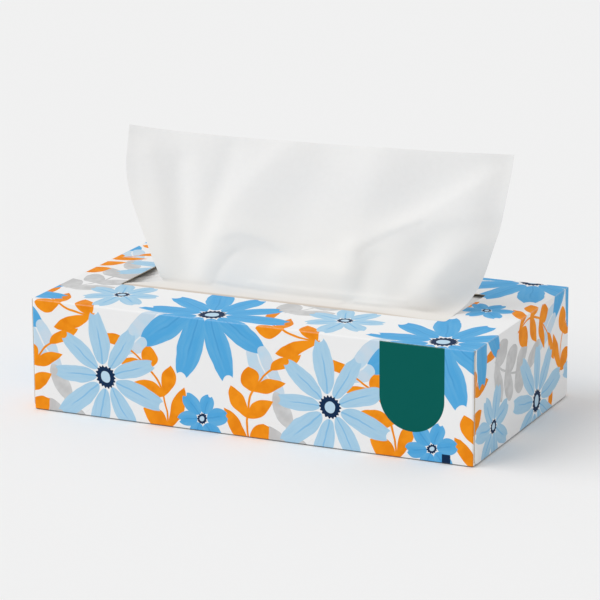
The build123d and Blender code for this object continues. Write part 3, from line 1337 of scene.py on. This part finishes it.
@dataclass
class SheetPile:
    """The pile of folded sheets under the slot, one thin folded layer on another."""

    length: float
    bottom: float
    top: float
    depth: float = 107.1
    layers: int = 54
    folds: int = 9
    fold_depth: float = 1.6
    unevenness: float = 0.35
    layer_share: float = 0.96
    round_share: float = 0.46
    round_steps: int = 3
    seed: int = 7

    @classmethod
    def in_node(cls, name: str) -> "SheetPile":
        """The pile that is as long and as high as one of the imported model's nodes."""
        low, high = node_box(name)
        return cls(high[0] - low[0], low[2], high[2])

    def tree(self, finish: bpy.types.Material) -> tuple[bpy.types.NodeTree, dict[str, Any]]:
        """Makes the node tree that stacks the layers.

        Args:
            finish: The paper's material.

        Returns:
            The tree, and the values of its inputs by their sockets' identifiers.
        """
        tree = bpy.data.node_groups.new("stacked_layers", "GeometryNodeTree")
        nodes = NodeSheet(tree)
        tree.interface.new_socket("Geometry", in_out="OUTPUT", socket_type="NodeSocketGeometry")
        pitch = (self.top - self.bottom) / self.layers
        sizes = {
            "Length": ("NodeSocketFloat", self.length * MM),
            "Depth": ("NodeSocketFloat", self.depth * MM),
            "Bottom": ("NodeSocketFloat", self.bottom * MM),
            "Pitch": ("NodeSocketFloat", pitch * MM),
            "Layers": ("NodeSocketInt", self.layers),
            "Folds": ("NodeSocketFloat", float(self.folds)),
            "Fold Depth": ("NodeSocketFloat", self.fold_depth * MM),
            "Unevenness": ("NodeSocketFloat", self.unevenness * MM),
            "Seed": ("NodeSocketInt", self.seed),
        }
        values = {}
        for name, (kind, value) in sizes.items():
            socket = tree.interface.new_socket(name, in_out="INPUT", socket_type=kind)
            values[socket.identifier] = value
        given = nodes.add("NodeGroupInput")
        size = {name: nodes.term(given, name) for name in sizes}

        # One layer: a thin strip with rounded long edges, along the carton.
        narrow = size["Depth"] - size["Fold Depth"] * 2.0
        path = nodes.add(
            "GeometryNodeCurvePrimitiveLine",
            {"mode": "POINTS"},
            {
                "Start": nodes.joined(size["Length"] * -0.5, 0.0, 0.0),
                "End": nodes.joined(size["Length"] * 0.5, 0.0, 0.0),
            },
        )
        strip = nodes.add(
            "GeometryNodeCurvePrimitiveQuadrilateral",
            {"mode": "RECTANGLE"},
            {"Width": narrow, "Height": size["Pitch"] * self.layer_share},
        )
        rounded = nodes.add(
            "GeometryNodeFilletCurve",
            {"mode": "POLY"},
            {
                "Curve": strip.outputs[0],
                "Count": self.round_steps,
                "Radius": size["Pitch"] * self.round_share,
            },
        )
        layer = nodes.add(
            "GeometryNodeCurveToMesh",
            None,
            {"Curve": path.outputs[0], "Profile Curve": rounded.outputs[0], "Fill Caps": True},
        )

        # The layers, a little uneven and deepest in the middle of each fold, where share * (1 - share) is
        # a quarter.
        line = nodes.add(
            "GeometryNodeMeshLine",
            {"mode": "OFFSET"},
            {
                "Count": size["Layers"],
                "Start Location": nodes.joined(0.0, 0.0, size["Bottom"] + size["Pitch"] * 0.5),
                "Offset": nodes.joined(0.0, 0.0, size["Pitch"]),
            },
        )
        index = nodes.term(nodes.add("GeometryNodeInputIndex"))
        share = ((index + 0.5) / size["Layers"] * size["Folds"]).wrapped(0.0, 1.0)
        bulge = share * (1 - share) * 4.0 * size["Fold Depth"] * 2.0
        chance = nodes.add(
            "FunctionNodeRandomValue", {"data_type": "FLOAT"}, {2: -1.0, 3: 0.0, "Seed": size["Seed"]}
        )
        ragged = nodes.term(chance, 1) * size["Unevenness"] * 2.0
        deep = (narrow + bulge + ragged) / narrow
        stacked = nodes.add(
            "GeometryNodeInstanceOnPoints",
            None,
            {
                "Points": line.outputs[0],
                "Instance": layer.outputs[0],
                "Scale": nodes.joined(1.0, deep, 1.0),
            },
        )
        real = nodes.add("GeometryNodeRealizeInstances", None, {"Geometry": stacked.outputs[0]})
        painted = nodes.add(
            "GeometryNodeSetMaterial", None, {"Geometry": real.outputs[0], "Material": finish}
        )
        nodes.add("NodeGroupOutput", None, {0: painted.outputs[0]})
        return tree, values

    def build(self, finish: bpy.types.Material) -> bpy.types.Object:
        """Makes the pile as one plain mesh.

        Args:
            finish: The paper's material.

        Returns:
            The pile's object.
        """
        tree, values = self.tree(finish)
        pattern = put_in_scene("pile_pattern", bpy.data.meshes.new("pile_pattern"))
        modifier = pattern.modifiers.new("stacked_layers", "NODES")
        modifier.node_group = tree
        for identifier, value in values.items():
            modifier[identifier] = value
        graph = bpy.context.evaluated_depsgraph_get()
        mesh = bpy.data.meshes.new_from_object(pattern.evaluated_get(graph), depsgraph=graph)
        mesh.name = "folded_pile"
        bpy.data.objects.remove(pattern)
        return put_in_scene("folded_pile", mesh)

    def dress(self, pile: bpy.types.Object) -> None:
        """Hides the imported pile that it stands for and hangs it under the root body.

        Args:
            pile: The pile's object.
        """
        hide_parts("tissue_stack")
        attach(pile, "root")


@dataclass
class Carton:
    """The folded card carton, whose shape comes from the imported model."""

    node: str = "carton"

    def size(self) -> tuple[float, float, float]:
        """The carton's length, width and height, in millimetres."""
        low, high = node_box(self.node)
        return high[0] - low[0], high[1] - low[1], high[2] - low[2]

    def dress(self) -> bpy.types.Object:
        """Gives the carton its printed card.

        Returns:
            The carton's object.
        """
        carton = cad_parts[self.node]
        material = PrintedCard(*self.size()).material()
        if not carton.material_slots:
            carton.data.materials.append(material)
        for slot in carton.material_slots:
            slot.material = material
        return carton


# The studio


@dataclass
class Studio:
    """A plain pale floor, soft light and the camera."""

    floor_size: float = 9.0
    floor: Colour = linear(244.5, 244.5, 244.5)
    floor_roughness: float = 0.9
    backdrop: Colour = linear(240, 240, 240)
    sky: float = 0.664
    key: float = 1.436
    key_from: tuple[float, float, float] = (-0.30, -0.17, 0.30)
    key_spread: float = 60.0
    lens: float = 196.77
    sensor: float = 36.0
    clip: tuple[float, float] = (0.05, 50.0)
    camera_place: tuple[float, float, float] = (640.783, -1394.242, 469.590)
    azimuth: float = 24.710
    elevation: float = 15.2286
    roll: float = -0.3286

    def build_floor(self) -> bpy.types.Object:
        """Makes the floor.

        Returns:
            The floor's object.
        """
        half = self.floor_size / 2
        mesh = bpy.data.meshes.new("floor")
        mesh.from_pydata(
            [(-half, -half, 0), (half, -half, 0), (half, half, 0), (-half, half, 0)], [], [(0, 1, 2, 3)]
        )
        material, nodes = new_material("pale_floor")
        nodes.surface(
            {"Base Color": self.floor, "Roughness": self.floor_roughness, "Specular IOR Level": 0.0}
        )
        mesh.materials.append(material)
        floor = put_in_scene("floor", mesh)
        return floor

    def build_light(self) -> None:
        """Makes the even sky and the soft key light."""
        world = bpy.data.worlds.new("studio")
        world.use_nodes = True
        nodes = NodeSheet(world.node_tree)
        path = nodes.add("ShaderNodeLightPath")
        seen = nodes.term(path, "Is Camera Ray").most(nodes.term(path, "Is Glossy Ray"))
        seen = seen.most(nodes.term(path, "Is Transmission Ray"))
        colour = nodes.mixed(seen, (self.sky, self.sky, self.sky), self.backdrop)
        sky = nodes.add("ShaderNodeBackground", None, {"Color": colour, "Strength": 1.0})
        nodes.add("ShaderNodeOutputWorld", None, {"Surface": sky.outputs[0]})
        bpy.context.scene.world = world
        lamp = bpy.data.lights.new("key", "SUN")
        lamp.energy = self.key
        lamp.angle = math.radians(self.key_spread)
        key = put_in_scene("key", lamp)
        key.rotation_mode = "QUATERNION"
        key.rotation_quaternion = Vector(self.key_from).to_track_quat("Z", "Y")

    def build_camera(self) -> None:
        """Makes the camera at the photograph's angle and sets the view."""
        azimuth, elevation, roll = (math.radians(v) for v in (self.azimuth, self.elevation, self.roll))
        back = Vector(
            (
                math.sin(azimuth) * math.cos(elevation),
                -math.cos(azimuth) * math.cos(elevation),
                math.sin(elevation),
            )
        )
        level = (-back).cross(Vector((0, 0, 1))).normalized()
        upright = level.cross(-back)
        right = level * math.cos(roll) + upright * math.sin(roll)
        up = upright * math.cos(roll) - level * math.sin(roll)
        data = bpy.data.cameras.new("camera")
        data.lens = self.lens
        data.sensor_width = self.sensor
        data.clip_start, data.clip_end = self.clip
        camera = put_in_scene("camera", data)
        turn = Matrix((right, up, back)).transposed().to_4x4()
        camera.matrix_world = Matrix.Translation(Vector(self.camera_place) * MM) @ turn
        bpy.context.scene.camera = camera
        bpy.context.scene.view_settings.view_transform = "Standard"


def main() -> None:
    """Builds the studio and the pieces in order."""
    logging.basicConfig(level=logging.INFO, format="%(name)s: %(message)s")
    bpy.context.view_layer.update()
    studio = Studio()
    studio.build_camera()
    studio.build_floor()
    studio.build_light()
    LOG.info("studio: floor, light and camera")

    carton_maker = Carton()
    carton = carton_maker.dress()
    LOG.info("%s: printed card", carton.name)
    pile_maker = SheetPile.in_node("tissue_stack")
    pile = pile_maker.build(PilePaper().material())
    pile_maker.dress(pile)
    LOG.info("%s: %d faces", pile.name, len(pile.data.polygons))
    sheet_maker = StandingSheet(carton_height=carton_maker.size()[2])
    sheet = sheet_maker.build(SoftTissue().material())
    sheet_maker.dress(sheet, pile)
    LOG.info("%s: %d faces", sheet.name, len(sheet.data.polygons))


if __name__ == "__main__":
    main()
